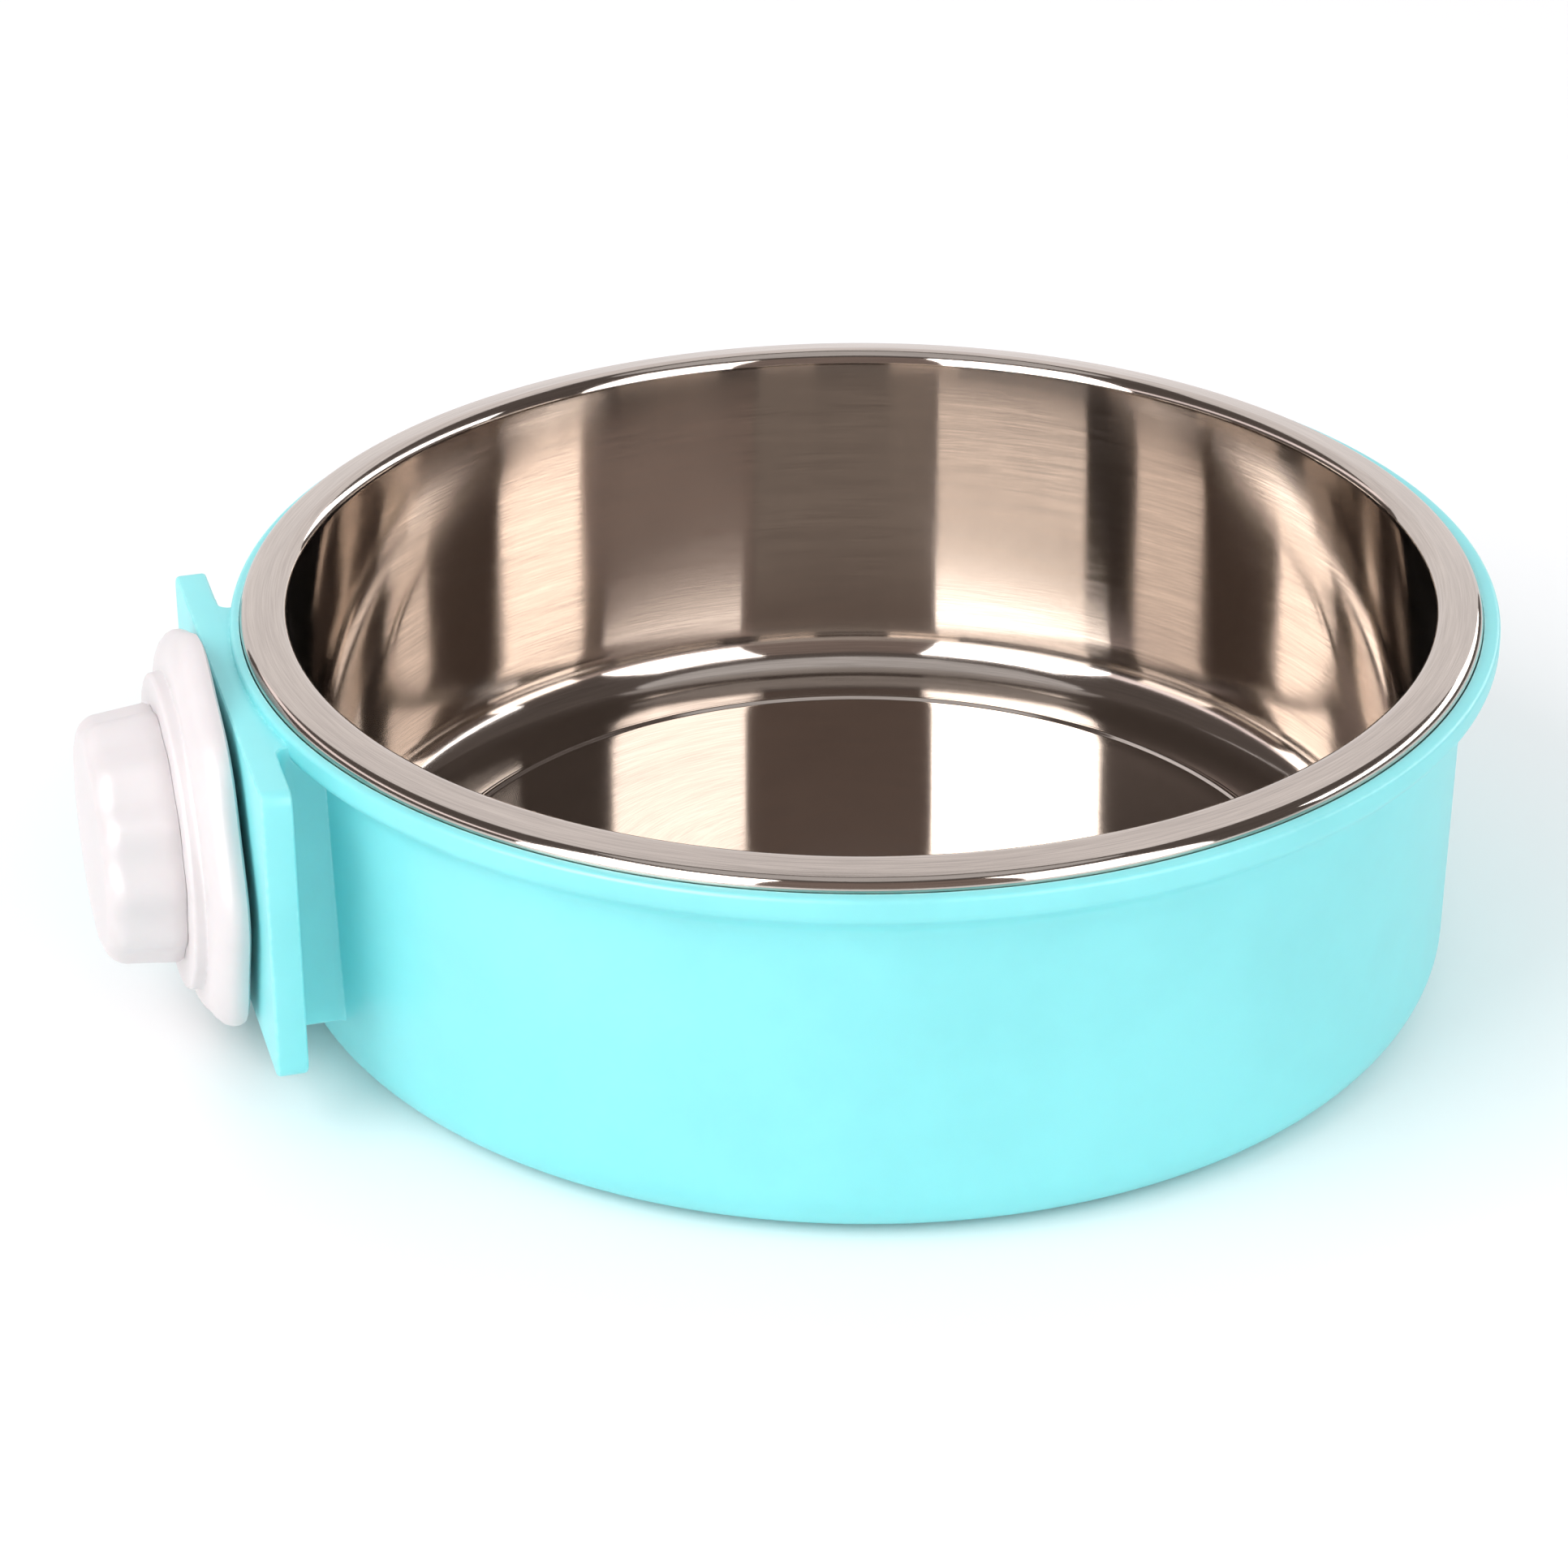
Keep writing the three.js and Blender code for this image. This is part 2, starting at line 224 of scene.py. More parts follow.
def turned(profile, segments, closed=False):
    """Bmesh turned about Z. Each point is (radius, height), and a radius may be a function of the angle."""
    bm = bmesh.new()
    rings = []
    for radius, height in profile:
        if not callable(radius) and radius < 1e-9:
            rings.append([bm.verts.new((0, 0, height))] * segments)
            continue
        ring = []
        for i in range(segments):
            angle = FULL_TURN * i / segments
            r = radius(angle) if callable(radius) else radius
            ring.append(bm.verts.new((r * math.cos(angle), r * math.sin(angle), height)))
        rings.append(ring)
    pairs = list(zip(rings, rings[1:]))
    if closed:
        pairs.append((rings[-1], rings[0]))
    for low, high in pairs:
        for i in range(segments):
            k = (i + 1) % segments
            corners = [low[i], low[k], high[k], high[i]]
            face = [v for n, v in enumerate(corners) if v not in corners[:n]]
            if len(face) > 2:
                bm.faces.new(face)
    bmesh.ops.recalc_face_normals(bm, faces=bm.faces)
    return bm


def extruded(outline, low, high):
    """Bmesh of a flat outline drawn in XY, from height low to height high."""
    bm = bmesh.new()
    bottom = [bm.verts.new((x, y, low)) for x, y in outline]
    top = [bm.verts.new((x, y, high)) for x, y in outline]
    bm.faces.new(bottom)
    bm.faces.new(top)
    for i in range(len(outline)):
        k = (i + 1) % len(outline)
        bm.faces.new((bottom[i], bottom[k], top[k], top[i]))
    bmesh.ops.recalc_face_normals(bm, faces=bm.faces)
    return bm


def round_edges(bm, width, smallest_angle=50, segments=3):
    edges = [e for e in bm.edges if e.calc_face_angle(0) > math.radians(smallest_angle)]
    bmesh.ops.bevel(bm, geom=edges, offset=width, segments=segments, profile=0.5, affect="EDGES")


def clamp_axis(start):
    """Turns +Z into -X and puts a shape's base at the distance start along the clamp's axis."""
    return Matrix.Translation((-start, 0, AXIS_HEIGHT)) @ Matrix.Rotation(-math.pi / 2, 4, "Y")


def make_object(name, bm, matrix=None):
    if matrix is not None:
        bmesh.ops.transform(bm, matrix=matrix, verts=bm.verts)
    mesh = bpy.data.meshes.new(name)
    bm.to_mesh(mesh)
    bm.free()
    obj = bpy.data.objects.new(name, mesh)
    bpy.context.scene.collection.objects.link(obj)
    return obj


def shade(obj, sharp_angle=32):
    obj.data.polygons.foreach_set("use_smooth", [True] * len(obj.data.polygons))
    obj.data.set_sharp_from_angle(angle=math.radians(sharp_angle))


def combine(target, tool, operation):
    """Applies a boolean of target with tool, and removes the tool."""
    modifier = target.modifiers.new(operation, "BOOLEAN")
    modifier.operation = operation
    modifier.solver = "MANIFOLD"
    modifier.object = tool
    depsgraph = bpy.context.evaluated_depsgraph_get()
    result = bpy.data.meshes.new_from_object(target.evaluated_get(depsgraph))
    target.modifiers.clear()
    target.data = result
    bpy.data.objects.remove(tool)


def hexagon(across_flats, largest=1.0):
    """Radius of a hexagon as a function of the angle, cut off at a largest radius."""
    def radius(angle):
        off_flat = (angle + math.pi / 6) % (math.pi / 3) - math.pi / 6
        return min(across_flats / 2 / math.cos(off_flat), largest)
    return radius


def waved(crest, depth, waves):
    """Radius that swings between crest and crest - depth as the angle goes round."""
    return lambda angle: crest - depth * (1 - math.cos(waves * angle)) / 2


# ---------------------------------------------------------------------------
# Holder moulding
# ---------------------------------------------------------------------------

def holder_outside():
    flare = LIP_TOP - FLARE_DEPTH
    lip_bottom = LIP_TOP - LIP_DEPTH
    foot = BASE_RADIUS - FOOT_FILLET
    return subdivided([
        (0, GATE_DEPTH * 0.4),
        (GATE_RADIUS * 0.3, GATE_DEPTH * 0.4),
        (GATE_RADIUS * 0.4, GATE_DEPTH),
        (GATE_RADIUS - GATE_DEPTH, GATE_DEPTH),
        (GATE_RADIUS, 0),
        *arc(foot, FOOT_FILLET, FOOT_FILLET, -90, 0, 16),
        (TOP_RADIUS, flare),
        *arc(TOP_RADIUS + LIP_FLARE, flare + 0.2 * MM, LIP_FLARE, 176, 128, 6),
        *arc(LIP_RADIUS - LIP_UNDERSIDE, lip_bottom + 0.9 * MM, LIP_UNDERSIDE, -68, 0, 8),
        *arc(LIP_RADIUS - LIP_EDGE, LIP_TOP - LIP_EDGE, LIP_EDGE, 0, 90, 5),
        (0, LIP_TOP),
    ], 4 * MM)


def rim_rolls():
    """Centres of the liner's inner and outer rim rolls, with the top sloping down between them."""
    inner = (MOUTH_RADIUS + INNER_ROLL, RIM_TOP - INNER_ROLL)
    slope = math.radians(RIM_SLOPE)
    outer_r = RIM_RADIUS - OUTER_ROLL
    run = outer_r - inner[0] - (INNER_ROLL - OUTER_ROLL) * math.sin(slope)
    drop = run * math.tan(slope)
    outer_z = inner[1] + (INNER_ROLL - OUTER_ROLL) * math.cos(slope) - drop
    return inner, (outer_r, outer_z)


def holder_inside():
    """The hollow: floor, wall, and a cove that the liner's rolled rim lies in with a little play."""
    corner = FOOT_FILLET - 0.4 * MM
    roll_r, roll_z = rim_rolls()[1]
    reach = OUTER_ROLL + COVE_GAP
    return [
        (0, FLOOR),
        *arc(BASE_RADIUS - WALL - corner, FLOOR + corner, corner, -90, 0, 10),
        (TOP_RADIUS - WALL, roll_z - reach - INSIDE_STEP),
        (TOP_RADIUS - WALL + INSIDE_STEP, roll_z - reach),
        *arc(roll_r, roll_z, reach, -88, 0, 8),
        (RIM_RADIUS + COVE_GAP, RIM_TOP),
        (0, RIM_TOP),
    ]


def bracket_plate():
    middle = (PLATE_TOP + PLATE_BOTTOM) / 2 - AXIS_HEIGHT
    half_height = (PLATE_TOP - PLATE_BOTTOM) / 2
    corners = [
        (middle - half_height, -PLATE_HALF_WIDTH, PLATE_CORNER),
        (middle + half_height, -PLATE_HALF_WIDTH, PLATE_CORNER),
        (middle + half_height, PLATE_HALF_WIDTH, PLATE_CORNER),
        (middle - half_height, PLATE_HALF_WIDTH, PLATE_CORNER),
    ]
    bm = extruded(rounded(corners), 0, PLATE_THICKNESS)
    round_edges(bm, EDGE_ROUND)
    return make_object("plate", bm, clamp_axis(PLATE_FACE - PLATE_THICKNESS))


def joining_block():
    """Block between wall and plate, with a fillet where it meets each of them."""
    back = -(PLATE_FACE - PLATE_THICKNESS)
    in_plate = back - PLATE_THICKNESS / 2
    side = BLOCK_HALF_WIDTH
    wall_x = -math.sqrt((BASE_RADIUS - 0.1 * MM) ** 2 - side**2)
    inner = -(BASE_RADIUS - WALL - BLOCK_OVERLAP)
    half = [
        (in_plate, side + 3 * MM, 0),
        (back + 0.05 * MM, side + 3 * MM, 0),
        (back + 0.05 * MM, side, PLATE_FILLET),
        (wall_x, side, WALL_FILLET),
        (wall_x + 1.75 * MM, side + BLOCK_FLARE, 0),
        (inner, side + BLOCK_FLARE, 0),
    ]
    mirrored = [(x, -y, r) for x, y, r in reversed(half)]
    bm = extruded(rounded(half + mirrored), PLATE_BOTTOM, PLATE_TOP)
    round_edges(bm, EDGE_ROUND, 80)
    return make_object("block", bm)


def head_pocket():
    """Hexagonal pocket behind the liner, which keeps the bolt's head from turning."""
    start = PLATE_FACE - POCKET_DEPTH
    length = PLATE_FACE - POCKET_END - start
    side = hexagon(HEX_FLATS + HEX_PLAY)
    bm = turned([(0, 0), (side, 0), (side, length), (0, length)], 48)
    return make_object("pocket", bm, clamp_axis(start))


def bolt_hole():
    """Hole for the bolt, chamfered at the plate's face. The tool runs on past the face."""
    radius = THREAD_RADIUS + 0.3 * MM
    tool_end = 8 * MM
    bm = turned([
        (0, 0),
        (radius, 0),
        (radius, HOLE_DEPTH - HOLE_MOUTH),
        (radius + HOLE_MOUTH, HOLE_DEPTH),
        (radius + HOLE_MOUTH, tool_end),
        (0, tool_end),
    ], 48)
    return make_object("hole", bm, clamp_axis(PLATE_FACE - HOLE_DEPTH))


def add_holder():
    holder = make_object("holder_moulding", turned(holder_outside(), 256))
    combine(holder, joining_block(), "UNION")
    combine(holder, bracket_plate(), "UNION")
    inside = make_object("inside", turned(holder_inside(), 256), Matrix.Translation((LINER_CENTRE, 0, 0)))
    combine(holder, inside, "DIFFERENCE")
    combine(holder, head_pocket(), "DIFFERENCE")
    combine(holder, bolt_hole(), "DIFFERENCE")
    shade(holder, 28)
    return holder


# ---------------------------------------------------------------------------
# Steel liner
# ---------------------------------------------------------------------------

def add_liner():
    heel = HEEL_RADIUS - LINER_CORNER
    (inner_r, inner_z), (outer_r, outer_z) = rim_rolls()
    tilt = 90 - RIM_SLOPE
    wall_angle = -WALL_DRAFT
    middle = LINER_FLOOR + MIDDLE_RISE
    crest = LINER_FLOOR + BEAD_HEIGHT
    inside = [
        (0, middle),
        *arc(BEAD_RADIUS - 0.82 * MM, middle + BEAD_FILLET, BEAD_FILLET, -90, -60, 4),
        *arc(BEAD_RADIUS, crest - BEAD_ROUND, BEAD_ROUND, 120, 50, 8),
        *arc(BEAD_RADIUS + 1.0 * MM, LINER_FLOOR + BEAD_FILLET, BEAD_FILLET, 230, 270, 4),
        *arc(heel, LINER_FLOOR + LINER_CORNER, LINER_CORNER, -90, wall_angle, 18),
        *arc(inner_r, inner_z, INNER_ROLL, 180 + wall_angle, tilt, 20),
        *arc(outer_r, outer_z, OUTER_ROLL, tilt, -90, 28),
    ]
    outside = [
        *arc(outer_r, outer_z, OUTER_ROLL - STEEL, -90, tilt, 16),
        *arc(inner_r, inner_z, INNER_ROLL - STEEL, tilt, 180 + wall_angle, 12),
        *arc(heel, LINER_FLOOR + LINER_CORNER, LINER_CORNER + STEEL, wall_angle, -90, 14),
        (BEAD_RADIUS + 1.2 * MM, LINER_FLOOR - STEEL),
        (BEAD_RADIUS, crest - STEEL),
        (BEAD_RADIUS - 1.0 * MM, middle - STEEL),
        (0, middle - STEEL),
    ]
    profile = subdivided(inside, 2 * MM) + subdivided(outside, 4 * MM)
    liner = make_object("steel_liner", turned(profile, 320), Matrix.Translation((LINER_CENTRE, 0, 0)))
    shade(liner, 50)
    return liner


# ---------------------------------------------------------------------------
# Screw clamp
# ---------------------------------------------------------------------------

def thread(length, start, crest, depth, per_pitch=8):
    """Turned profile points of a screw thread, whose radius follows a helix."""
    points = []
    run_out = 1.2 * THREAD_PITCH
    count = round(length / THREAD_PITCH * per_pitch)
    for i in range(count + 1):
        along = length * i / count
        fade = min(1, along / run_out, (length - along) / run_out)

        def radius(angle, along=along, fade=fade):
            phase = (along / THREAD_PITCH - angle / FULL_TURN) % 1
            groove = min(1, max(0, 1.25 * (1 - abs(2 * phase - 1)) - 0.1))
            return crest - depth * (1 - groove * fade)

        points.append((radius, start + along))
    return points


def add_bolt():
    length = BOLT_HIGH.x - BOLT_LOW.x
    head = HEX_FLATS / math.sqrt(3)
    profile = [
        (0, 0.3 * MM),
        (2.6 * MM, 0.3 * MM),
        (2.9 * MM, 0),
        (HEX_FLATS / 2 - 0.2 * MM, 0),
        (hexagon(HEX_FLATS, head - 0.35 * MM), 0.45 * MM),
        (hexagon(HEX_FLATS), 0.85 * MM),
        (hexagon(HEX_FLATS), BOLT_HEAD - 0.2 * MM),
        (hexagon(HEX_FLATS, head - 0.2 * MM), BOLT_HEAD),
        (THREAD_RADIUS - 0.1 * MM, BOLT_HEAD),
        *thread(length - BOLT_HEAD, BOLT_HEAD, THREAD_RADIUS, THREAD_DEPTH),
        (0, length),
    ]
    bolt = make_object("hex_bolt", turned(profile, 72), clamp_axis(-BOLT_HIGH.x))
    shade(bolt, 35)
    return bolt


def add_disc():
    def lobed(radius, share=1.0):
        return waved(radius, DISC_LOBE * share, DISC_LOBES)

    hole = THREAD_RADIUS + 0.4 * MM
    profile = [
        (hole, 0.3 * MM),
        (hole + 0.3 * MM, 0),
        (lobed(DISC_RADIUS - 2.4 * MM, 0.8), 0),
        (lobed(DISC_RADIUS - 0.9 * MM), 0),
        (lobed(DISC_RADIUS - 0.25 * MM), 0.3 * MM),
        (lobed(DISC_RADIUS), 0.9 * MM),
        (lobed(DISC_RADIUS), 1.6 * MM),
        (lobed(DISC_RADIUS - 0.3 * MM), 2.3 * MM),
        (lobed(DISC_RADIUS - 1.1 * MM), 3.1 * MM),
        (lobed(DISC_RADIUS - 2.2 * MM, 0.9), 3.7 * MM),
        (lobed(DISC_RADIUS - 3.4 * MM, 0.5), DISC_THICKNESS),
        (BOSS_RADIUS + 0.5 * MM, DISC_THICKNESS),
        (BOSS_RADIUS + 0.15 * MM, DISC_THICKNESS + 0.1 * MM),
        (BOSS_RADIUS, DISC_THICKNESS + 0.4 * MM),
        *arc(BOSS_RADIUS - 0.5 * MM, DISC_LENGTH - 0.5 * MM, 0.5 * MM, 0, 90, 4),
        (hole + 0.3 * MM, DISC_LENGTH),
        (hole, DISC_LENGTH - 0.3 * MM),
    ]
    disc = make_object("lobed_disc", turned(profile, 192, closed=True), clamp_axis(DISC_START))
    shade(disc, 40)
    return disc


def add_knob():
    slope = (KNOB_FRONT_RADIUS - KNOB_BASE_RADIUS) / KNOB_LENGTH

    def side(height):
        return waved(KNOB_BASE_RADIUS + slope * height, FLUTE_DEPTH, KNOB_FLUTES)

    pocket = NUT_LENGTH + 0.3 * MM
    bore = THREAD_RADIUS + 0.5 * MM
    straight = KNOB_LENGTH - KNOB_ROUND
    nut_seat = hexagon(HEX_FLATS + HEX_PLAY)
    profile = [
        (0, KNOB_BORE_DEPTH),
        (bore, KNOB_BORE_DEPTH),
        (bore, pocket),
        (nut_seat, pocket),
        (nut_seat, 0),
        (KNOB_BASE_RADIUS - 1.6 * MM, 0),
        (KNOB_BASE_RADIUS - 1.5 * MM, -KNOB_SKIRT),
        (waved(KNOB_BASE_RADIUS - 0.4 * MM, FLUTE_DEPTH * 0.8, KNOB_FLUTES), -KNOB_SKIRT),
    ]
    for i in range(5):
        height = 0.4 * MM + (straight - 0.4 * MM) * i / 4
        profile.append((side(height), height))
    for radius, height in arc(0, straight, KNOB_ROUND, 10, 90, 8):
        edge = KNOB_BASE_RADIUS + slope * straight - KNOB_ROUND + radius
        share = radius / KNOB_ROUND
        profile.append((waved(edge, FLUTE_DEPTH * share, KNOB_FLUTES), height))
    profile.append((0, KNOB_LENGTH))
    knob = make_object("fluted_knob", turned(profile, 288), clamp_axis(KNOB_START))
    shade(knob, 40)
    return knob


def add_nut():
    corner = HEX_FLATS / math.sqrt(3)
    chamfer = 0.45 * MM
    profile = [
        (THREAD_RADIUS + 0.6 * MM, 0),
        (HEX_FLATS / 2 - 0.1 * MM, 0),
        (hexagon(HEX_FLATS, corner - 0.3 * MM), chamfer),
        (hexagon(HEX_FLATS), 2 * chamfer),
        (hexagon(HEX_FLATS), NUT_LENGTH - 2 * chamfer),
        (hexagon(HEX_FLATS, corner - 0.3 * MM), NUT_LENGTH - chamfer),
        (HEX_FLATS / 2 - 0.1 * MM, NUT_LENGTH),
        (THREAD_RADIUS + 0.6 * MM, NUT_LENGTH),
        (THREAD_RADIUS + 0.2 * MM, NUT_LENGTH - 0.4 * MM),
        (THREAD_RADIUS + 0.2 * MM, 0.4 * MM),
    ]
    nut = make_object("captive_nut", turned(profile, 72, closed=True), clamp_axis(KNOB_START))
    shade(nut, 30)
    return nut


# ---------------------------------------------------------------------------
# Materials
# ---------------------------------------------------------------------------

class Nodes:
    """Short calls for building one material's node tree."""

    def __init__(self, name):
        self.material = bpy.data.materials.new(name)
        self.material.use_nodes = True
        self.tree = self.material.node_tree
        self.shader = self.tree.nodes["Principled BSDF"]

    def add(self, kind, settings=None, **inputs):
        node = self.tree.nodes.new("ShaderNode" + kind)
        for key, value in (settings or {}).items():
            setattr(node, key, value)
        for key, value in inputs.items():
            self.put(node.inputs[key.replace("_", " ")], value)
        return node

    def put(self, socket, value):
        if isinstance(value, bpy.types.NodeSocket):
            self.tree.links.new(value, socket)
        else:
            socket.default_value = value

    def math(self, operation, a, b=0.0, clamp=False):
        node = self.add("Math", {"operation": operation, "use_clamp": clamp})
        self.put(node.inputs[0], a)
        self.put(node.inputs[1], b)
        return node.outputs[0]

    def spread(self, value, low, high, to_low, to_high):
        node = self.add("MapRange", Value=value)
        for key, number in (("From Min", low), ("From Max", high), ("To Min", to_low), ("To Max", to_high)):
            node.inputs[key].default_value = number
        return node.outputs["Result"]

    def noise(self, vector, scale, detail=3.0, roughness=0.5, **inputs):
        node = self.add("TexNoise", Scale=scale, Detail=detail, Roughness=roughness, Vector=vector, **inputs)
        return node.outputs["Fac"]

    def blend(self, factor, a, b, mode="MIX"):
        node = self.add("Mix", {"data_type": "RGBA", "blend_type": mode})
        self.put(node.inputs["Factor"], factor)
        self.put(node.inputs["A"], a)
        self.put(node.inputs["B"], b)
        return node.outputs["Result"]

    def bump(self, height, strength, distance):
        node = self.add("Bump", Strength=strength, Distance=distance, Height=height)
        return node.outputs["Normal"]

    def object_space(self):
        return self.add("TexCoord").outputs["Object"]

    def edges(self, radius):
        """1 where an outer edge turns sharply within the radius, 0 on flat and hollow places."""
        soft = self.add("Bevel", {"samples": 4}, Radius=radius).outputs["Normal"]
        hard = self.add("NewGeometry").outputs["Normal"]
        product = self.add("VectorMath", {"operation": "DOT_PRODUCT"})
        self.put(product.inputs[0], soft)
        self.put(product.inputs[1], hard)
        return self.spread(product.outputs["Value"], 0.995, 0.9, 0.0, 1.0)


def colour(r, g, b):
    return (r, g, b, 1.0)


def moulded_plastic(name, main, worn, roughness):
    """Injection moulded plastic: slight cloudiness, faint orange peel, lighter rubbed edges."""
    n = Nodes(name)
    place = n.object_space()
    cloud = n.noise(place, 45, 4, 0.6)
    speckle = n.noise(place, 900, 2, 0.5)
    peel = n.noise(place, 420, 3, 0.45)
    rubbed = n.math("MULTIPLY", n.edges(0.5 * MM), n.spread(speckle, 0.4, 0.62, 0.15, 0.9))
    shadow = tuple(c * 0.93 for c in main[:3]) + (1.0,)
    base = n.blend(n.spread(cloud, 0.35, 0.65, 0, 1), shadow, main)
    n.put(n.shader.inputs["Base Color"], n.blend(rubbed, base, worn))
    gloss = n.spread(cloud, 0.3, 0.7, roughness - 0.04, roughness + 0.05)
    n.put(n.shader.inputs["Roughness"], n.math("ADD", gloss, n.math("MULTIPLY", rubbed, 0.12)))
    n.put(n.shader.inputs["Normal"], n.bump(peel, 0.12, 0.12 * MM))
    n.shader.inputs["IOR"].default_value = 1.49
    n.shader.inputs["Subsurface Weight"].default_value = 0.08
    n.shader.inputs["Subsurface Scale"].default_value = 2 * MM
    return n.material


def ring_brushed_steel(name):
    """Stainless sheet turned against an abrasive: fine rings round the wall and the floor."""
    n = Nodes(name)
    split = n.add("SeparateXYZ", Vector=n.object_space())
    x = n.math("SUBTRACT", split.outputs["X"], LINER_CENTRE)
    y, z = split.outputs["Y"], split.outputs["Z"]
    radius = n.math("SQRT", n.math("ADD", n.math("MULTIPLY", x, x), n.math("MULTIPLY", y, y)))
    around_x = n.math("DIVIDE", x, n.math("ADD", radius, MM))
    around_y = n.math("DIVIDE", y, n.math("ADD", radius, MM))

    def rings(pitch, turns, detail):
        """Noise that runs along rings: one cycle each pitch across them, and turns cycles round them."""
        vector = n.add("CombineXYZ")
        n.put(vector.inputs["X"], n.math("DIVIDE", radius, pitch))
        n.put(vector.inputs["Y"], n.math("DIVIDE", z, pitch))
        n.put(vector.inputs["Z"], n.math("MULTIPLY", around_x, turns))
        w = n.math("MULTIPLY", around_y, turns)
        node = n.add("TexNoise", {"noise_dimensions": "4D"}, Vector=vector.outputs[0], W=w,
                     Scale=1.0, Detail=detail, Roughness=0.6)
        return node.outputs["Fac"]

    fine = rings(0.16 * MM, 9, 2)
    broad = rings(1.1 * MM, 3, 3)
    grain = n.math("ADD", n.math("MULTIPLY", fine, 0.6), n.math("MULTIPLY", broad, 0.4))
    dull, bright = colour(0.42, 0.382, 0.35), colour(0.54, 0.492, 0.45)
    n.put(n.shader.inputs["Base Color"], n.blend(n.spread(grain, 0.35, 0.65, 0, 1), dull, bright))
    n.put(n.shader.inputs["Roughness"], n.spread(grain, 0.35, 0.65, 0.105, 0.06))
    n.put(n.shader.inputs["Normal"], n.bump(fine, 0.3, 0.008 * MM))
    n.shader.inputs["Metallic"].default_value = 1.0
    n.shader.inputs["Anisotropic"].default_value = 1.0
    n.shader.inputs["Anisotropic Rotation"].default_value = 0.25
    tangent = n.add("Tangent", {"direction_type": "RADIAL", "axis": "Z"})
    n.put(n.shader.inputs["Tangent"], tangent.outputs["Tangent"])
    return n.material


def zinc_plate(name):
    """Bright zinc on steel: mottled grey with rubbed, brighter edges."""
    n = Nodes(name)
    place = n.object_space()
    mottle = n.noise(place, 260, 4, 0.6)
    scratch = n.noise(place, 1500, 2, 0.5)
    rubbed = n.edges(0.25 * MM)
    dull, bright = colour(0.42, 0.43, 0.45), colour(0.58, 0.59, 0.61)
    base = n.blend(n.spread(mottle, 0.35, 0.65, 0, 1), dull, bright)
    n.put(n.shader.inputs["Base Color"], n.blend(rubbed, base, colour(0.72, 0.73, 0.75)))
    n.put(n.shader.inputs["Roughness"], n.spread(mottle, 0.3, 0.7, 0.26, 0.42))
    n.put(n.shader.inputs["Normal"], n.bump(scratch, 0.2, 0.03 * MM))
    n.shader.inputs["Metallic"].default_value = 1.0
    return n.material


# ---------------------------------------------------------------------------
# Studio: floor, lights, and the glowing panels that only glossy surfaces see
# ---------------------------------------------------------------------------

FLOOR_RADIUS = 3.0
PANEL_RADIUS = 1.0
PANEL_STEP = 5
LIGHT_DISTANCE = 1.3
LIGHT_SIZE = 1.0


def add_floor():
    bm = bmesh.new()
    bmesh.ops.create_circle(bm, cap_ends=True, segments=96, radius=FLOOR_RADIUS)
    floor = make_object("studio_floor", bm, Matrix.Translation((0, 0, -0.02 * MM)))
    n = Nodes("floor_paint")
    tone = n.noise(n.object_space(), 3, 2, 0.5)
    n.put(n.shader.inputs["Base Color"], n.blend(tone, colour(0.94, 0.94, 0.94), colour(0.96, 0.96, 0.96)))
    n.shader.inputs["Roughness"].default_value = 0.7
    floor.data.materials.append(n.material)


def add_panel(name, left, right, low, high, light, distance=PANEL_RADIUS):
    """Curved glowing panel that only glossy surfaces see. Its sides are angles from the camera's
    direction, positive to the camera's right, and its edges are angles above the floor."""
    bm = bmesh.new()
    columns = max(2, math.ceil((right - left) / PANEL_STEP))
    count = max(2, math.ceil((high - low) / PANEL_STEP))
    rows = []
    for k in range(count + 1):
        rise = math.radians(low + (high - low) * k / count)
        row = []
        for i in range(columns + 1):
            angle = math.radians(left + (right - left) * i / columns) + CAMERA_AZIMUTH
            row.append(bm.verts.new((
                distance * math.cos(rise) * math.sin(angle),
                -distance * math.cos(rise) * math.cos(angle),
                distance * math.sin(rise),
            )))
        rows.append(row)
    for lower, upper in zip(rows, rows[1:]):
        for i in range(columns):
            bm.faces.new((lower[i], lower[i + 1], upper[i + 1], upper[i]))
    panel = make_object(name, bm)
    panel.visible_camera = False
    panel.visible_diffuse = False
    panel.visible_shadow = False
    panel.visible_transmission = False
    material = bpy.data.materials.new(name)
    material.use_nodes = True
    tree = material.node_tree
    tree.nodes.clear()
    glow = tree.nodes.new("ShaderNodeEmission")
    glow.inputs["Color"].default_value = colour(*light)
    glow.inputs["Strength"].default_value = 1.0
    output = tree.nodes.new("ShaderNodeOutputMaterial")
    tree.links.new(glow.outputs[0], output.inputs["Surface"])
    panel.data.materials.append(material)


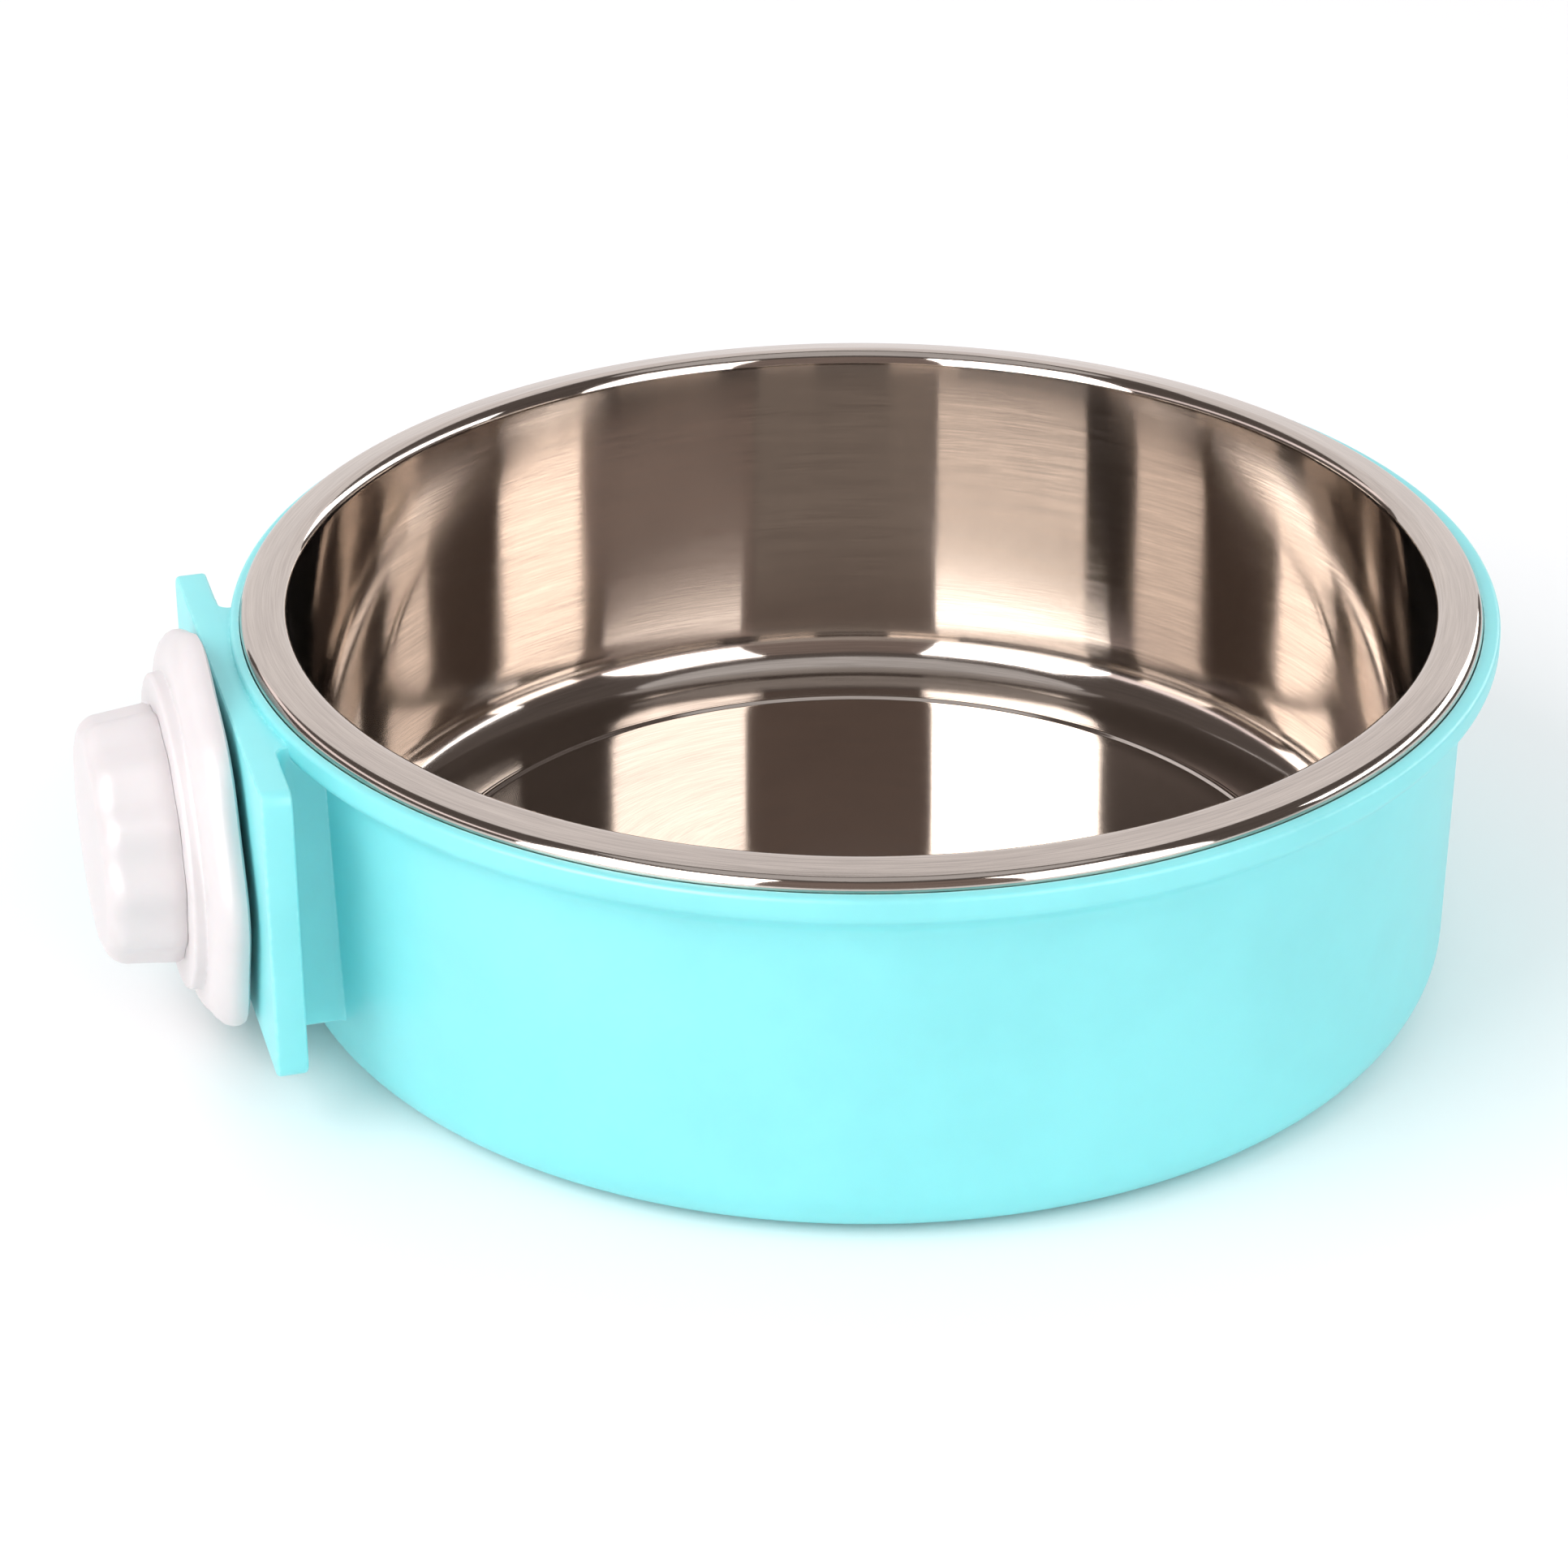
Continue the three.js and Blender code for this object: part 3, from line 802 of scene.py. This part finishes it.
def add_panels():
    """What the steel mirrors: a dark dome, with two softboxes and the dim room between them, a light
    strip on each side, a pale backdrop and a soft light overhead. Places and brightness are tuned so
    that the steel looks as it does in the photo from the camera; other angles show other stripes."""
    add_panel("dome", -180, 180, 0, 90, (0.15, 0.125, 0.115), 1.1 * PANEL_RADIUS)
    add_panel("dim_room", -17, 27, 0, 54, (0.32, 0.25, 0.225))
    add_panel("softbox_left", -58, -17, 0, 54, (9.6, 9.3, 9.2))
    add_panel("softbox_right", 27, 60, 0, 54, (5.0, 4.75, 4.65))
    add_panel("strip_left", -135, -58, 19, 29, (1.7, 1.5, 1.5))
    add_panel("strip_right", 84, 148, 15, 30, (6.4, 6.3, 6.3))
    add_panel("backdrop", 148, 225, 0, 60, (1.15, 1.1, 1.1))
    add_panel("overhead", -180, 180, 68, 90, (0.75, 0.72, 0.72))


def add_area_light(name, azimuth, elevation, power):
    data = bpy.data.lights.new(name, "AREA")
    data.shape = "SQUARE"
    data.size = LIGHT_SIZE
    data.energy = power
    light = bpy.data.objects.new(name, data)
    bpy.context.scene.collection.objects.link(light)
    angle = math.radians(azimuth) + CAMERA_AZIMUTH
    rise = math.radians(elevation)
    back = Vector((math.cos(rise) * math.sin(angle), -math.cos(rise) * math.cos(angle), math.sin(rise)))
    light.location = back * LIGHT_DISTANCE
    light.rotation_mode = "QUATERNION"
    light.rotation_quaternion = back.to_track_quat("Z", "Y")
    light.visible_glossy = False


def add_lights():
    add_area_light("key_light", -56, 38, 9)
    add_area_light("fill_light", 50, 35, 3.5)
    world = bpy.data.worlds.new("studio")
    world.use_nodes = True
    background = world.node_tree.nodes["Background"]
    background.inputs["Color"].default_value = colour(1.0, 0.985, 1.0)
    background.inputs["Strength"].default_value = 0.76
    bpy.context.scene.world = world
    bpy.context.scene.view_settings.view_transform = "Standard"


# ---------------------------------------------------------------------------
# Assembly
# ---------------------------------------------------------------------------

def fit(obj, material, body, node):
    obj.data.materials.clear()
    obj.data.materials.append(material)
    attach(obj, body)
    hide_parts(node)


def main():
    add_camera()
    aqua = moulded_plastic("aqua_moulding", colour(0.24, 0.76, 0.79), colour(0.44, 0.88, 0.90), 0.36)
    white = moulded_plastic("white_moulding", colour(0.73, 0.69, 0.695), colour(0.82, 0.79, 0.795), 0.40)
    steel = ring_brushed_steel("ring_brushed_steel")
    zinc = zinc_plate("zinc_plate")
    fit(add_holder(), aqua, "holder", "holder_bowl")
    fit(add_liner(), steel, "liner", "steel_bowl")
    fit(add_bolt(), zinc, "holder", "clamp_bolt")
    fit(add_disc(), white, "disc", "clamp_disc")
    fit(add_knob(), white, "knob", "clamp_knob")
    fit(add_nut(), zinc, "knob", "knob_nut")
    add_floor()
    add_panels()
    add_lights()
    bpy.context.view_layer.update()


main()
